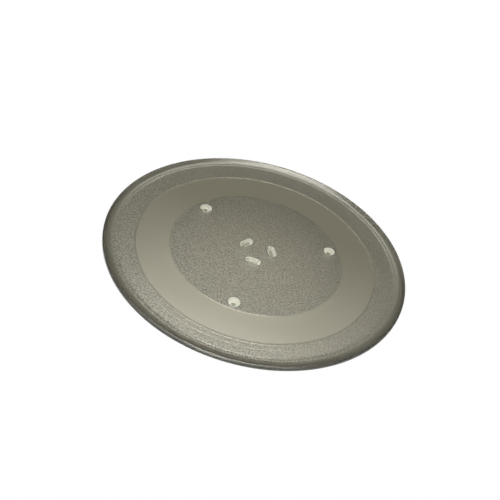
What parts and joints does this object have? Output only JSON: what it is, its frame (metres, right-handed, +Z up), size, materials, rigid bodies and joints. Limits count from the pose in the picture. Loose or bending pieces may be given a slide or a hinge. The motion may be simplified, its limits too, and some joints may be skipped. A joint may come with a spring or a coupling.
{
  "type": "microwave turntable plate",
  "caption": "Round pressed-glass turntable plate with a raised rim, a smooth roller track underneath, drive lugs round the centre and small standing feet.",
  "frame": {"origin": "on the axis of rotation, at the level of the surface that the feet stand on", "axes": "+Z up along the axis of rotation; the first lug and the first foot lie towards -Y"},
  "size_m": [0.315, 0.315, 0.0141],
  "materials": {
    "pressed_glass": "grey-green pressed glass, smooth on top and on the track, finely stippled underneath"
  },
  "bodies": {
    "root": {"turntable_plate": "pressed_glass"}
  },
  "joints": []
}
